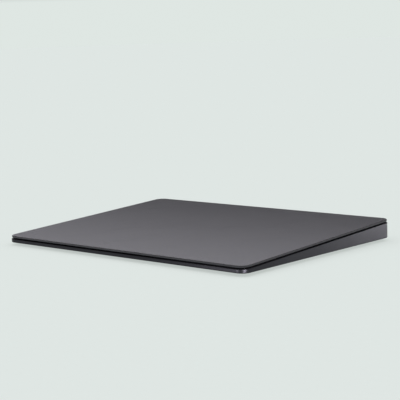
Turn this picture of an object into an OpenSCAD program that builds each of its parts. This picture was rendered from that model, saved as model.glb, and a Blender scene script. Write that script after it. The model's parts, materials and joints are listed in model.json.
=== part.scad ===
// Low wedge-shaped desktop trackpad.
// A glass touch plate floats on four sensing flexures above a milled metal tray.
// The front edge faces -Y, the desk is at z = 0 and the origin is at the centre of the footprint.

/* [Overall] */
// Width of the tray, left to right
pad_w = 160; // [156:0.5:200]
// Depth of the tray, front to rear
pad_d = 114.9; // [112:0.1:140]
// Height of the touch surface above the desk at the front edge
front_h = 4.9; // [4.8:0.1:6.5]
// Height of the touch surface above the desk at the rear edge
rear_h = 10.9; // [10.6:0.1:14]

/* [Tray] */
// Plan radius of the tray corners
corner_r = 4.5; // [4:0.1:8]
// Thickness of the side walls
wall = 2; // [1.6:0.1:2.4]
// Thickness of the floor
floor_t = 0.9; // [0.8:0.05:1]
// Radius of the edge between the side walls and the underside
bottom_r = 0.5; // [0.2:0.05:0.8]
// Open gap between the touch glass and the tray rim
rim_gap = 0.75; // [0.5:0.05:0.9]

/* [Feet] */
// Diameter of a foot
foot_d = 8; // [5:0.5:10]
// Height of the tray underside above the desk
foot_h = 1.45; // [1:0.05:1.5]
// Depth of the pocket that a foot is bonded into
foot_pocket = 0.3; // [0.2:0.05:0.4]
// Radius of a foot's lower edge
foot_edge_r = 0.5; // [0.2:0.05:0.8]
// Distance from the side of the tray to a foot's centre
foot_from_side = 22; // [18:0.5:26]
// Distance from the front or rear of the tray to a foot's centre
foot_from_end = 13; // [10:0.5:16]

/* [Touch plate] */
// Thickness of the touch glass
glass_t = 1; // [0.8:0.05:1.1]
// Set-back of the glass from the tray outline
glass_inset = 0.15; // [0:0.05:0.6]
// Plan radius of the glass corners
glass_r = 4.5; // [4:0.1:8]
// Chamfer on the upper edge of the glass
glass_top_chamfer = 0.2; // [0.1:0.05:0.4]
// Chamfer on the lower edge of the glass
glass_low_chamfer = 0.15; // [0.1:0.05:0.3]
// Thickness of the adhesive sheet under the glass
adhesive_t = 0.1; // [0.05:0.05:0.15]
// Thickness of the touch sensor board
touch_board_t = 0.6; // [0.5:0.05:0.65]
// Side clearance between the touch sensor board and the tray walls
touch_board_clear = 0.8; // [0.6:0.1:2]
// Travel of the touch plate when pressed
press_travel = 0.2; // [0.1:0.05:0.25]
// Travel of the touch plate each way when the haptic magnet pulls it
haptic_travel = 0.2; // [0.1:0.05:0.25]

/* [Flexures] */
// Thickness of the spring steel flexures
flexure_t = 0.35; // [0.25:0.05:0.4]
// Width of a flexure's clamped base and of its tip
flexure_w = 9; // [8:0.5:10]
// Width of a flexure's sensing beam
beam_w = 5; // [3:0.5:6]
// Length of a flexure's clamped base
flexure_base_l = 9; // [7:0.5:10]
// Length of a flexure's sensing beam
beam_l = 10; // [8:0.5:12]
// Length of a flexure's tip
flexure_tip_l = 10; // [8:0.5:12]
// Thickness of the tip plate between a flexure and its gel pad
tip_plate_t = 0.15; // [0.1:0.05:0.2]
// Thickness of the shear gel pads
gel_t = 0.3; // [0.2:0.05:0.35]
// Margin of the gel pad inside the tip plate
gel_margin = 0.75; // [0.25:0.25:2]
// Distance from the side of the tray to a flexure's clamped end
flexure_from_side = 7; // [5:0.5:9]
// Distance from the front or rear of the tray to a flexure's centreline
flexure_from_end = 11.5; // [10:0.5:14]

/* [Battery] */
// Length of the battery cell, left to right
cell_l = 76; // [60:1:80]
// Depth of the battery cell, front to rear
cell_d = 34; // [28:1:36]
// Thickness of the battery cell
cell_t = 3.4; // [2.5:0.1:3.6]
// Thickness of the battery's adhesive strips
cell_adhesive_t = 0.1; // [0.05:0.05:0.2]
// Length of the protection board at the end of the cell
guard_l = 5; // [4:0.5:6]

/* [Logic board] */
// Width of the logic board, left to right
logic_w = 28; // [24:1:30]
// Depth of the logic board, front to rear
logic_d = 36; // [32:1:38]
// Thickness of the logic board
logic_t = 0.8; // [0.6:0.1:1]
// Height of the posts that carry the logic board
logic_post_h = 1; // [0.8:0.1:1.4]

/* [Charging port] */
// Width of the port's mouth
port_w = 8.34; // [8:0.02:9]
// Height of the port's mouth
port_h = 2.56; // [2.4:0.02:2.8]
// Thickness of the port's metal shell
port_shell_t = 0.3; // [0.2:0.05:0.4]
// Length of the port's shell
port_l = 7; // [6.5:0.1:7.4]
// Height of the port and switch centrelines above the desk
port_z = 5.3; // [5.1:0.1:5.6]

/* [Power switch] */
// Distance from the right side of the tray to the centre of the slot
switch_from_side = 34; // [32:1:36]
// Length of the slot in the rear wall
slot_l = 9.4; // [8:0.2:11]
// Height of the slot in the rear wall
slot_h = 2.9; // [2.4:0.1:3.2]
// Length of the sliding knob
knob_l = 5.4; // [4:0.2:6]
// Recess of the knob's face below the rear wall
knob_recess = 0.3; // [0.1:0.05:0.6]

/* [Haptic magnet] */
// Thickness of the magnet core
core_t = 1; // [0.8:0.1:1.2]
// Build of the coil winding above and below the core
coil_build = 0.4; // [0.3:0.05:0.45]
// Width of a core leg
leg_w = 8; // [6:0.5:9]
// Length of a core leg
leg_l = 10; // [9:0.5:11]
// Spacing of the core legs
leg_pitch = 18; // [16:0.5:20]
// Air gap left between the core legs and the armature when the plate is pulled over
air_gap_least = 0.2; // [0.15:0.05:0.4]

/* [Hidden] */
$fn = 64;

// Clearances
slip = 0.1;        // between a slider and its guides
fit = 0.05;        // radial, round a screw or a bonded foot
press_spare = 0.15; // left above the coils when the plate is pressed
board_gap = 0.5;   // between a board and the wall beside it
running_gap = press_travel + press_spare;
air_gap = haptic_travel + air_gap_least;

// Levels above the desk
under_z = foot_h;
floor_z = under_z + floor_t;
far = 300;

// The touch plane and the levels of the stack below it, measured square to the glass
tilt = atan2(rear_h - front_h, pad_d);
plane_z = (front_h + rear_h) / 2;
plane_d = pad_d / cos(tilt);
glass_z = -glass_t;
rim_level = glass_z - rim_gap;
sheet_z = glass_z - adhesive_t;
touch_z = sheet_z - touch_board_t;
gel_z = touch_z - gel_t;
tip_z = gel_z - tip_plate_t;
flexure_z = tip_z - flexure_t;

// Corners: name, side along X, side along Y
CORNERS = [
    ["front_left", -1, -1],
    ["front_right", 1, -1],
    ["rear_left", -1, 1],
    ["rear_right", 1, 1]
];

// Flexure places along X, from the clamped end inwards
clamp_x = pad_w / 2 - flexure_from_side;
beam_x = clamp_x - flexure_base_l;
tip_x = beam_x - beam_l;
tip_end_x = tip_x - flexure_tip_l;
flexure_y = pad_d / 2 - flexure_from_end;

// Screws
shank_r = 0.7;
flush_head_r = 1.15;
pan_head_r = 1.5;
flexure_screw_l = 1.2;
flexure_screw_pitch = 5;
board_screw_l = 1.9;
bracket_screw_l = 0.95;
board_head_t = 0.5;

// Rear bay, behind the battery and the logic board
rear_inner_y = pad_d / 2 - wall;
rear_bay = 10;
bay_y = rear_inner_y - rear_bay;

// Logic board and its neighbours
logic_from_side = 18;
logic_right = pad_w / 2 - wall - logic_from_side;
logic_left = logic_right - logic_w;
logic_rear = bay_y;
logic_front = logic_rear - logic_d;
logic_z = floor_z + logic_post_h;
logic_top = logic_z + logic_t;
post_r = 1.6;
post_inset = 2.2;
post_from_right = 6;
LOGIC_POSTS = [
    [logic_left + post_inset, logic_front + post_inset],
    [logic_right - post_from_right, (logic_front + logic_rear) / 2],
    [logic_left + post_inset, logic_rear - post_inset]
];
controller_l = 7;
controller_t = 0.9;
controller_from_left = 7.5;
controller_from_front = 13.5;
radio_w = 8;
radio_d = 7;
radio_t = 1.1;
radio_from_right = 3;
radio_from_rear = 5;
inductor_l = 3;
inductor_t = 1.2;
inductor_from_left = 8;
inductor_from_rear = 5;
capacitor_n = 6;
capacitor_w = 0.6;
capacitor_d = 1.2;
capacitor_pitch = 1.3;
capacitor_from_right = 9;
capacitor_from_front = 14;

// Battery, to the left of the logic board and in front of the rear flexures
guard_gap = 4;
guard_right = logic_left - guard_gap;
cell_right = guard_right - guard_l;
cell_left = cell_right - cell_l;
cell_rear = flexure_y - flexure_w / 2 - board_gap;
cell_front = cell_rear - cell_d;
cell_mid = (cell_front + cell_rear) / 2;
cell_z = floor_z + cell_adhesive_t;
cell_strip_w = 8;
cell_strip_inset = 4;
cell_edge_r = 1.2;
guard_t = 0.8;
guard_d = 22;
guard_lift = 1.7;
guard_z = cell_z + guard_lift;
battery_plug_l = 3;
battery_plug_x = logic_left + 1.5;
ribbon_lap = 0.5;

// Ribbons and connectors
ribbon_t = 0.15;
ribbon_w = 4;
ribbon_step = 0.05;
top_plug_h = 0.8;

// Sensor ribbon, along both side walls and across in front of the magnet
sensor_run_l = clamp_x + ribbon_step;
sensor_run_w = 3;
sensor_cross_y = -29;
sensor_plug_w = 6;
sensor_plug_d = 2.5;
sensor_plug_y = logic_front + 4;
gauge_l = 6;
gauge_w = 3;
gauge_t = 0.1;
gauge_from_base = 2;
gauge_tail_w = 2;

// Haptic magnet, square to the touch plane
magnet_y = -19;
spine_d = 4;
spine_over = 4;
leg_over = 1;
core_top = touch_z - running_gap - coil_build;
core_z = core_top - core_t;
coil_z = core_z - coil_build;
coil_wall = 2.2;
coil_end = 1.5;
coil_l = leg_l - 2 * coil_end;
coil_right = leg_pitch + leg_w / 2 + coil_wall;
bracket_t = 0.3;
bracket_z = coil_z - bracket_t;
bracket_top = bracket_z + bracket_t;
bracket_ear = 5;
core_w = 2 * leg_pitch + leg_w + 2 * spine_over;
bracket_w = core_w + 2 * bracket_ear;
bracket_d = spine_d + leg_l - leg_over;
magnet_pad_margin = 0.5;
armature_d = 4;
armature_y = magnet_y + spine_d + leg_l + air_gap;
magnet_ribbon_inset = 4.5;
magnet_ribbon_x = max(logic_left + magnet_ribbon_inset, bracket_w / 2 + board_gap);
magnet_ribbon_y = magnet_y + bracket_d / 2 - ribbon_w / 2;
magnet_plug_d = 3;
magnet_plug_y = logic_front + 1.5;

// Touch ribbon between the touch sensor board and the logic board
touch_ribbon_w = 8;
touch_ribbon_from_right = 12;
touch_ribbon_x = logic_right - touch_ribbon_from_right;
touch_plug_side = 0.5;
touch_plug_w = touch_ribbon_w + 2 * touch_plug_side;
touch_plug_d = 3;
touch_ribbon_run = 10;
touch_bend = 1;
touch_lead = 2;
touch_plug_y = logic_front - touch_ribbon_run;
touch_socket_inset = 4;
touch_socket_y = logic_front + touch_socket_inset;
chip_l = 9;
chip_t = 0.9;
chip_y = -36;

// Port ribbon, with a branch up to the switch board
port_ribbon_inset = 4.5;
port_ribbon_x = logic_left + port_ribbon_inset;
port_ribbon_y = bay_y + 0.5;
port_ribbon_w = 3;
port_plug_d = 2.5;
port_plug_y = logic_rear - 4;
switch_tail_w = 2.4;
switch_tail_gap = 0.3;

// Charging port
shell_w = port_w + 2 * port_shell_t;
shell_h = port_h + 2 * port_shell_t;
shell_recess = 0.15;
shell_front = pad_d / 2 - shell_recess;
shell_rear = shell_front - port_l;
port_clear = 0.12;
port_board_w = 22;
port_board_t = 0.8;
port_board_top = port_z - shell_h / 2;
port_board_z = port_board_top - port_board_t;
port_board_rear = rear_inner_y - board_gap;
port_board_front = bay_y + 1;
port_post_x = 8.2;
port_post_y = (port_board_rear + port_board_front) / 2;
tongue_w = 6.7;
tongue_t = 0.7;
tongue_l = 4.5;
contact_n = 12;
contact_pitch = 0.5;
contact_w = 0.26;
contact_t = 0.05;
contact_l = 3.6;
contact_from_root = 0.4;

// Power switch
switch_x = pad_w / 2 - switch_from_side;
knob_clear = 0.2;
knob_side = 0.15;
knob_h = slot_h - 2 * knob_side;
switch_travel = slot_l - knob_l - 2 * knob_clear;
knob_x = switch_x - switch_travel / 2;
flange_t = 0.8;
flange_lap = 0.65;
flange_end = 0.4;
flange_h = slot_h + 2 * flange_lap;
flange_l = slot_l + switch_travel + 2 * flange_end;
flange_rear = rear_inner_y - slip;
flange_front = flange_rear - flange_t;
mark_t = 0.1;
mark_lap = 0.2;
mark_end = 0.3;
mark_h = slot_h + 2 * mark_lap;
mark_left = knob_x + knob_l / 2 + mark_t;
mark_right = knob_x + flange_l / 2 - mark_end;
knob_face = pad_d / 2 - knob_recess;
groove_w = 0.3;
groove_n = 4;
guide_l = 10;
guide_t = 2;
guide_lip = 0.6;
guide_h = flange_h + 2 * (slip + guide_lip);
guide_rear = flange_front - slip;
guide_front = guide_rear - guide_t;
lever_w = 1.2;
lever_h = 1.2;
lever_reach = 1;
lever_notch = 0.4;
switch_board_t = 0.6;
switch_board_front = guide_front - switch_board_t;
holder_t = 0.5;
holder_front = switch_board_front - holder_t;
holder_foot = 4;
holder_screw_x = 3.2;

// Antenna, in the rear right corner
antenna_from_side = 2.5;
antenna_right = pad_w / 2 - wall - antenna_from_side;
antenna_l = 18;
antenna_left = antenna_right - antenna_l;
antenna_d = 3.5;
antenna_from_rear = 1;
antenna_rear = rear_inner_y - antenna_from_rear;
antenna_front = antenna_rear - antenna_d;
antenna_lift = 1.2;
antenna_top = logic_top + antenna_lift;
antenna_trace_t = 0.1;
antenna_tail_w = 2.4;
antenna_tail_lap = 3;

// Shared shapes

// Puts its children in the frame of the touch plane, with z = 0 on top of the glass
module on_plane() {
    translate([0, 0, plane_z]) rotate([tilt, 0, 0]) children();
}

// Everything above a level of the touch plane
module above_level(level) {
    on_plane() translate([-far / 2, -far / 2, level]) cube([far, far, far]);
}

// Block between two corners
module span(low, high) {
    translate(low) cube(high - low);
}

module rounded_rect(w, d, r) {
    square([w - 2 * r, d], center = true);
    square([w, d - 2 * r], center = true);
    for (x = [-1, 1], y = [-1, 1]) translate([x * (w / 2 - r), y * (d / 2 - r)]) circle(r);
}

module rounded_plate(w, d, h, r) {
    linear_extrude(h) rounded_rect(w, d, r);
}

// Long hole or knob shape along Y, centred at the origin
module obround_y(l, h, depth) {
    rotate([90, 0, 0]) linear_extrude(depth, center = true) {
        square([l - h, h], center = true);
        for (x = [-1, 1]) translate([x * (l - h) / 2, 0]) circle(h / 2);
    }
}

// Cross-section of a wall block whose two lower edges are rounded
module round_bottom_section(across, h, r) {
    translate([-across / 2, r]) square([across, h - r]);
    translate([-across / 2 + r, 0]) square([across - 2 * r, r]);
    for (x = [-1, 1]) translate([x * (across / 2 - r), r]) circle(r);
}

// Cross-section of the glass, with its upper and lower edges chamfered
module glass_section(across) {
    right = [
        [across / 2 - glass_low_chamfer, 0], [across / 2, glass_low_chamfer],
        [across / 2, glass_t - glass_top_chamfer], [across / 2 - glass_top_chamfer, glass_t]
    ];
    polygon(concat(right, [for (i = [len(right) - 1:-1:0]) [-right[i][0], right[i][1]]]));
}

// Right half of a section, to be turned about Z into a corner
module right_half() {
    intersection() {
        children();
        square([far, far]);
    }
}

// Head of a countersunk screw through a flexure, flush with z = 0
module flush_head() {
    translate([0, 0, -flexure_t]) cylinder(h = flexure_t, r1 = shank_r, r2 = flush_head_r);
}

// Countersunk screw, its head flush with z = 0 and its shank pointing down
module flush_screw(l) {
    flush_head();
    translate([0, 0, -l]) cylinder(h = l - flexure_t, r = shank_r);
}

// Pan head screw, its head standing on z = 0
module pan_screw(l, head_t) {
    cylinder(h = head_t, r = pan_head_r);
    translate([0, 0, -l]) cylinder(h = l, r = shank_r);
}

// Flat ribbon on the floor between two plan corners
module floor_ribbon(low, high) {
    span([low[0], low[1], floor_z], [high[0], high[1], floor_z + ribbon_t]);
}

// Tray

module tray_block() {
    r = corner_r;
    translate([0, 0, under_z]) {
        for (x = [-1, 1], y = [-1, 1]) translate([x * (pad_w / 2 - r), y * (pad_d / 2 - r), 0])
            rotate_extrude() right_half() round_bottom_section(2 * r, rear_h, bottom_r);
        rotate([90, 0, 90]) linear_extrude(pad_w - 2 * r, center = true)
            round_bottom_section(pad_d, rear_h, bottom_r);
        rotate([90, 0, 0]) linear_extrude(pad_d - 2 * r, center = true)
            round_bottom_section(pad_w, rear_h, bottom_r);
    }
}

module tray_cavity() {
    translate([0, 0, floor_z]) rounded_plate(pad_w - 2 * wall, pad_d - 2 * wall, rear_h, corner_r - wall);
}

// Pads and posts that stand on the floor, each cut off at the level of what it carries
module floor_pads() {
    sunk = floor_z - floor_t / 2;
    difference() {
        for (c = CORNERS) translate([c[1] * (beam_x + clamp_x) / 2, c[2] * flexure_y, sunk])
            translate([-flexure_base_l / 2, -flexure_w / 2, 0]) cube([flexure_base_l, flexure_w, rear_h]);
        above_level(flexure_z);
    }
    difference() {
        translate([-bracket_w / 2, magnet_y - magnet_pad_margin, sunk])
            cube([bracket_w, bracket_d + 2 * magnet_pad_margin, rear_h]);
        above_level(bracket_z);
    }
    for (p = LOGIC_POSTS) translate([p[0], p[1], sunk]) cylinder(h = logic_z - sunk, r = post_r);
    for (x = [-1, 1]) translate([x * port_post_x, port_post_y, sunk])
        cylinder(h = port_board_z - sunk, r = post_r);
}

module flexure_screw_places() {
    for (c = CORNERS, y = [-1, 1]) on_plane()
        translate([c[1] * (beam_x + clamp_x) / 2, c[2] * flexure_y / cos(tilt), 0])
            translate([0, y * flexure_screw_pitch / 2, 0]) children();
}

module haptic_screw_places() {
    in = bracket_ear / 2;
    for (x = [-1, 1], y = [in, bracket_d - in]) on_plane()
        translate([x * (bracket_w / 2 - in), magnet_y + y, 0]) children();
}

module port_screw_places() {
    for (x = [-1, 1]) translate([x * port_post_x, port_post_y, port_board_top]) children();
}

module holder_screw_places() {
    for (x = [-1, 1])
        translate([switch_x + x * holder_screw_x, holder_front - holder_foot / 2, floor_z + holder_t])
            children();
}

module screw_hole(l) {
    translate([0, 0, -l]) cylinder(h = l + 1, r = shank_r + fit);
}

module lower_case() color("#5b5a5f") difference() {
    union() {
        difference() {
            tray_block();
            tray_cavity();
        }
        floor_pads();
    }
    above_level(rim_level);
    for (c = CORNERS) foot_place(c) translate([0, 0, under_z - 1])
        cylinder(h = 1 + foot_pocket, r = foot_d / 2 + fit);
    flexure_screw_places() translate([0, 0, tip_z]) screw_hole(flexure_screw_l + fit);
    haptic_screw_places() translate([0, 0, bracket_top]) screw_hole(bracket_screw_l + fit);
    for (p = LOGIC_POSTS) translate([p[0], p[1], logic_top]) screw_hole(board_screw_l + fit);
    port_screw_places() screw_hole(board_screw_l + fit);
    holder_screw_places() screw_hole(bracket_screw_l + fit);
    translate([0, pad_d / 2 - wall / 2, port_z])
        obround_y(shell_w + 2 * port_clear, shell_h + 2 * port_clear, 2 * wall);
    translate([switch_x, pad_d / 2 - wall / 2, port_z]) obround_y(slot_l, slot_h, 2 * wall);
}

// Feet

module foot_place(c) {
    translate([c[1] * (pad_w / 2 - foot_from_side), c[2] * (pad_d / 2 - foot_from_end), 0]) children();
}

module foot(c) color("#2b2b2d") foot_place(c)
    rotate_extrude() right_half() round_bottom_section(foot_d, foot_h + foot_pocket, foot_edge_r);

// Battery

module battery_adhesive() color("#d9d4c4")
    for (y = [cell_front + cell_strip_w, cell_rear - cell_strip_w])
        span([cell_left + cell_strip_inset, y - cell_strip_w / 2, floor_z],
             [cell_right - cell_strip_inset, y + cell_strip_w / 2, cell_z]);

module battery_cell() color("#3a3c40")
    translate([(cell_left + cell_right) / 2, cell_mid, cell_z])
        rounded_plate(cell_l, cell_d, cell_t, cell_edge_r);

module battery_guard_board() color("#24402f")
    span([cell_right, cell_mid - guard_d / 2, guard_z],
         [guard_right, cell_mid + guard_d / 2, guard_z + guard_t]);

// Ribbon of one thickness that follows a line of points in the XZ or YZ plane
module ribbon_section(line) {
    polygon(concat(line, [for (i = [len(line) - 1:-1:0]) line[i] + [0, ribbon_t]]));
}

module battery_ribbon() color("#b98a3c")
    translate([0, cell_mid, 0]) rotate([90, 0, 0]) linear_extrude(ribbon_w, center = true) ribbon_section([
        [guard_right - battery_plug_l, guard_z + guard_t],
        [guard_right, guard_z + guard_t],
        [battery_plug_x - ribbon_lap, logic_top + top_plug_h],
        [battery_plug_x + battery_plug_l + ribbon_lap, logic_top + top_plug_h]
    ]);

module battery_plug() color("#1d1d1f")
    span([battery_plug_x, cell_mid - ribbon_w / 2, logic_top],
         [battery_plug_x + battery_plug_l, cell_mid + ribbon_w / 2, logic_top + top_plug_h]);

// Logic board and what stands on it

module logic_board() color("#1f3d2b") difference() {
    span([logic_left, logic_front, logic_z], [logic_right, logic_rear, logic_top]);
    for (p = LOGIC_POSTS) translate([p[0], p[1], logic_top]) screw_hole(logic_t + 1);
}

module logic_board_screws() color("#8a8a8d")
    for (p = LOGIC_POSTS) translate([p[0], p[1], logic_top]) pan_screw(board_screw_l, board_head_t);

module main_controller() color("#17171a")
    translate([logic_left + controller_from_left, logic_front + controller_from_front, logic_top])
        cube([controller_l, controller_l, controller_t]);

module radio_module() color("#a9abae")
    translate([logic_right - radio_from_right - radio_w, logic_rear - radio_from_rear - radio_d, logic_top])
        cube([radio_w, radio_d, radio_t]);

module charge_inductor() color("#4a4a4c")
    translate([logic_left + inductor_from_left, logic_rear - inductor_from_rear - inductor_l, logic_top])
        cube([inductor_l, inductor_l, inductor_t]);

module board_capacitors() color("#b39b73")
    for (i = [0:capacitor_n - 1])
        translate([logic_right - capacitor_from_right + i * capacitor_pitch,
                   logic_front + capacitor_from_front, logic_top])
            cube([capacitor_w, capacitor_d, capacitor_w]);

module touch_socket() color("#1d1d1f")
    translate([touch_ribbon_x - touch_plug_w / 2, touch_socket_y, logic_top])
        cube([touch_plug_w, touch_plug_d, top_plug_h]);

// Height of a level of the touch plane above the desk, at a distance behind the centre
function level_z(level, y) = plane_z + (y * sin(tilt) + level) / cos(tilt);

// Lies against the plug on the touch sensor board and drops to the socket on the logic board
module touch_ribbon() color("#b98a3c") {
    under_level = touch_z - top_plug_h;
    bend_y = touch_plug_y + touch_plug_d + touch_bend;
    high = level_z(under_level - ribbon_t, bend_y);
    low = logic_top + top_plug_h / 2;
    on_plane() span([touch_ribbon_x - touch_ribbon_w / 2, touch_plug_y / cos(tilt), under_level - ribbon_t],
                    [touch_ribbon_x + touch_ribbon_w / 2, (bend_y + ribbon_t) / cos(tilt), under_level]);
    translate([touch_ribbon_x, 0, 0]) rotate([90, 0, 90]) linear_extrude(touch_ribbon_w, center = true)
        ribbon_section([[bend_y, high], [touch_socket_y - touch_lead, low], [touch_socket_y, low]]);
}

// Plug between a floor ribbon and the underside of a board
module under_plug(low, high, board_z) {
    span([low[0], low[1], floor_z + ribbon_t], [high[0], high[1], board_z]);
}

module ribbon_plugs() color("#1d1d1f") {
    under_plug([logic_right - sensor_plug_w, sensor_plug_y],
               [logic_right, sensor_plug_y + sensor_plug_d], logic_z);
    under_plug([magnet_ribbon_x, magnet_plug_y],
               [magnet_ribbon_x + ribbon_w, magnet_plug_y + magnet_plug_d], logic_z);
    under_plug([port_ribbon_x, port_plug_y],
               [port_ribbon_x + ribbon_w, port_plug_y + port_plug_d], logic_z);
    under_plug([port_board_w / 2 - ribbon_w, port_board_front],
               [port_board_w / 2, port_board_front + port_plug_d], port_board_z);
}

module sensor_ribbon() color("#b98a3c") {
    run_r = sensor_run_l + sensor_run_w;
    for (x = [-run_r, sensor_run_l]) floor_ribbon([x, -flexure_y], [x + sensor_run_w, flexure_y]);
    floor_ribbon([-run_r, sensor_cross_y], [run_r, sensor_cross_y + ribbon_w]);
    floor_ribbon([logic_right - sensor_plug_w, sensor_plug_y], [run_r, sensor_plug_y + sensor_plug_d]);
}

// Flexures and their sensors

module flexure(c) color("#b7b8ba") difference() {
    on_plane() translate([0, c[2] * flexure_y / cos(tilt), flexure_z]) {
        block_x(c[1], beam_x, clamp_x, flexure_w, flexure_t);
        block_x(c[1], tip_x, beam_x, beam_w, flexure_t);
        block_x(c[1], tip_end_x, tip_x, flexure_w, flexure_t);
    }
    flexure_screw_places() translate([0, 0, tip_z]) {
        flush_head();
        screw_hole(2 * flexure_t);
    }
}

// Block from one distance to another along +X or -X, centred on Y
module block_x(side, from, to, w, t) {
    span([min(side * from, side * to), -w / 2, 0], [max(side * from, side * to), w / 2, t]);
}

module flexure_screws() color("#8a8a8d")
    flexure_screw_places() translate([0, 0, tip_z]) flush_screw(flexure_screw_l);

// Each gauge lies on a beam, and its tail runs out between the screws and down to the sensor ribbon
module strain_gauges() color("#c9a24a") for (c = CORNERS) {
    tail_x = clamp_x + ribbon_step;
    on_plane() translate([0, c[2] * flexure_y / cos(tilt), tip_z]) {
        block_x(c[1], beam_x - gauge_from_base - gauge_l, beam_x - gauge_from_base, gauge_w, gauge_t);
        block_x(c[1], beam_x - gauge_from_base, tail_x + ribbon_t, gauge_tail_w, gauge_t);
    }
    difference() {
        translate([0, c[2] * flexure_y, floor_z + ribbon_t])
            block_x(c[1], tail_x, tail_x + ribbon_t, gauge_tail_w, rear_h);
        above_level(tip_z + gauge_t);
    }
}

module tip_plate(c) color("#c4c5c7")
    on_plane() translate([0, c[2] * flexure_y / cos(tilt), tip_z])
        block_x(c[1], tip_end_x, tip_x, flexure_w, tip_plate_t);

module gel_pad(c) color("#d8dbe0")
    on_plane() translate([0, c[2] * flexure_y / cos(tilt), gel_z])
        block_x(c[1], tip_end_x + gel_margin, tip_x - gel_margin, flexure_w - 2 * gel_margin, gel_t);

// Haptic magnet

module haptic_bracket() color("#9b9c9f") difference() {
    on_plane() {
        translate([-bracket_w / 2, magnet_y, bracket_z]) cube([bracket_w, bracket_d, bracket_t]);
        translate([-core_w / 2, magnet_y, bracket_z]) cube([core_w, spine_d, core_z - bracket_z]);
    }
    haptic_screw_places() translate([0, 0, bracket_top]) screw_hole(bracket_t + 1);
}

module haptic_screws() color("#8a8a8d")
    haptic_screw_places() translate([0, 0, bracket_top]) pan_screw(bracket_screw_l, board_head_t);

module haptic_core() color("#6d6e70") on_plane() translate([0, magnet_y, core_z]) {
    translate([-core_w / 2, 0, 0]) cube([core_w, spine_d, core_t]);
    for (i = [-1, 0, 1]) translate([i * leg_pitch - leg_w / 2, 0, 0]) cube([leg_w, spine_d + leg_l, core_t]);
}

module haptic_coils() color("#b0642f") on_plane() for (i = [-1, 0, 1])
    translate([i * leg_pitch, magnet_y + spine_d + coil_end, coil_z]) difference() {
        translate([-leg_w / 2 - coil_wall, 0, 0])
            cube([leg_w + 2 * coil_wall, coil_l, core_t + 2 * coil_build]);
        translate([-leg_w / 2 - fit, -1, coil_build - fit])
            cube([leg_w + 2 * fit, coil_l + 2, core_t + 2 * fit]);
    }

// Starts at the coils, steps down the side of its pad and runs to the logic board
module haptic_ribbon() color("#b98a3c") {
    step_x = bracket_w / 2;
    rear_y = magnet_ribbon_y + ribbon_w;
    on_plane() span([coil_right, magnet_ribbon_y, bracket_top],
                    [step_x + ribbon_t, rear_y, bracket_top + ribbon_t]);
    difference() {
        span([step_x, magnet_ribbon_y, floor_z], [step_x + ribbon_t, rear_y, rear_h]);
        above_level(bracket_top + ribbon_t);
    }
    floor_ribbon([step_x, magnet_ribbon_y], [magnet_ribbon_x + ribbon_w, rear_y]);
    floor_ribbon([magnet_ribbon_x, magnet_ribbon_y],
                 [magnet_ribbon_x + ribbon_w, magnet_plug_y + magnet_plug_d]);
}

module haptic_armature() color("#77787a") on_plane()
    span([-core_w / 2, armature_y, core_z], [core_w / 2, armature_y + armature_d, touch_z]);

// Antenna

module antenna_carrier() color("#26262a")
    span([antenna_left, antenna_front, floor_z], [antenna_right, antenna_rear, antenna_top]);

// Foil on top of the carrier, with a tail that steps down to the logic board
module antenna_element() color("#c58f4a") {
    t = antenna_trace_t;
    tail = [
        [logic_rear - antenna_tail_lap, logic_top], [logic_rear, logic_top],
        [antenna_front, antenna_top], [antenna_front + t, antenna_top]
    ];
    outline = concat(tail, [for (i = [len(tail) - 1:-1:0]) tail[i] + [0, t]]);
    span([antenna_left, antenna_front, antenna_top], [antenna_right, antenna_rear, antenna_top + t]);
    translate([antenna_left, 0, 0]) rotate([90, 0, 90]) linear_extrude(antenna_tail_w) polygon(outline);
}

// Charging port

module port_shell() color("#a7a8ab") translate([0, 0, port_z]) difference() {
    translate([0, (shell_front + shell_rear) / 2, 0]) obround_y(shell_w, shell_h, port_l);
    translate([0, (shell_front + shell_rear) / 2 + port_shell_t, 0]) obround_y(port_w, port_h, port_l);
}

module port_tongue() color("#161618")
    translate([0, 0, port_z]) span([-tongue_w / 2, shell_rear + port_shell_t, -tongue_t / 2],
        [tongue_w / 2, shell_rear + port_shell_t + tongue_l, tongue_t / 2]);

module port_contacts() color("#d4aa45")
    for (i = [0:contact_n - 1], s = [-1, 1])
        translate([(i - (contact_n - 1) / 2) * contact_pitch - contact_w / 2,
                   shell_rear + port_shell_t + contact_from_root,
                   port_z + s * (tongue_t + contact_t) / 2 - contact_t / 2])
            cube([contact_w, contact_l, contact_t]);

module port_board() color("#1f3d2b") difference() {
    span([-port_board_w / 2, port_board_front, port_board_z],
         [port_board_w / 2, port_board_rear, port_board_top]);
    port_screw_places() screw_hole(port_board_t + 1);
}

module port_screws() color("#8a8a8d") {
    port_screw_places() pan_screw(board_screw_l, board_head_t);
    holder_screw_places() pan_screw(bracket_screw_l, board_head_t);
}

module port_ribbon() color("#b98a3c") {
    rear = port_ribbon_y + port_ribbon_w;
    tail_right = switch_x - guide_l / 2 - switch_tail_gap;
    tail_left = tail_right - switch_tail_w;
    run_right = max(port_ribbon_x + ribbon_w, tail_right);
    floor_ribbon([port_board_w / 2 - ribbon_w, port_ribbon_y], [run_right, rear]);
    floor_ribbon([port_ribbon_x, port_plug_y], [port_ribbon_x + ribbon_w, rear]);
    floor_ribbon([tail_left, port_ribbon_y], [tail_right, switch_board_front]);
    span([tail_left, switch_board_front - ribbon_t, floor_z], [tail_right, switch_board_front, port_z]);
}

// Power switch

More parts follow.
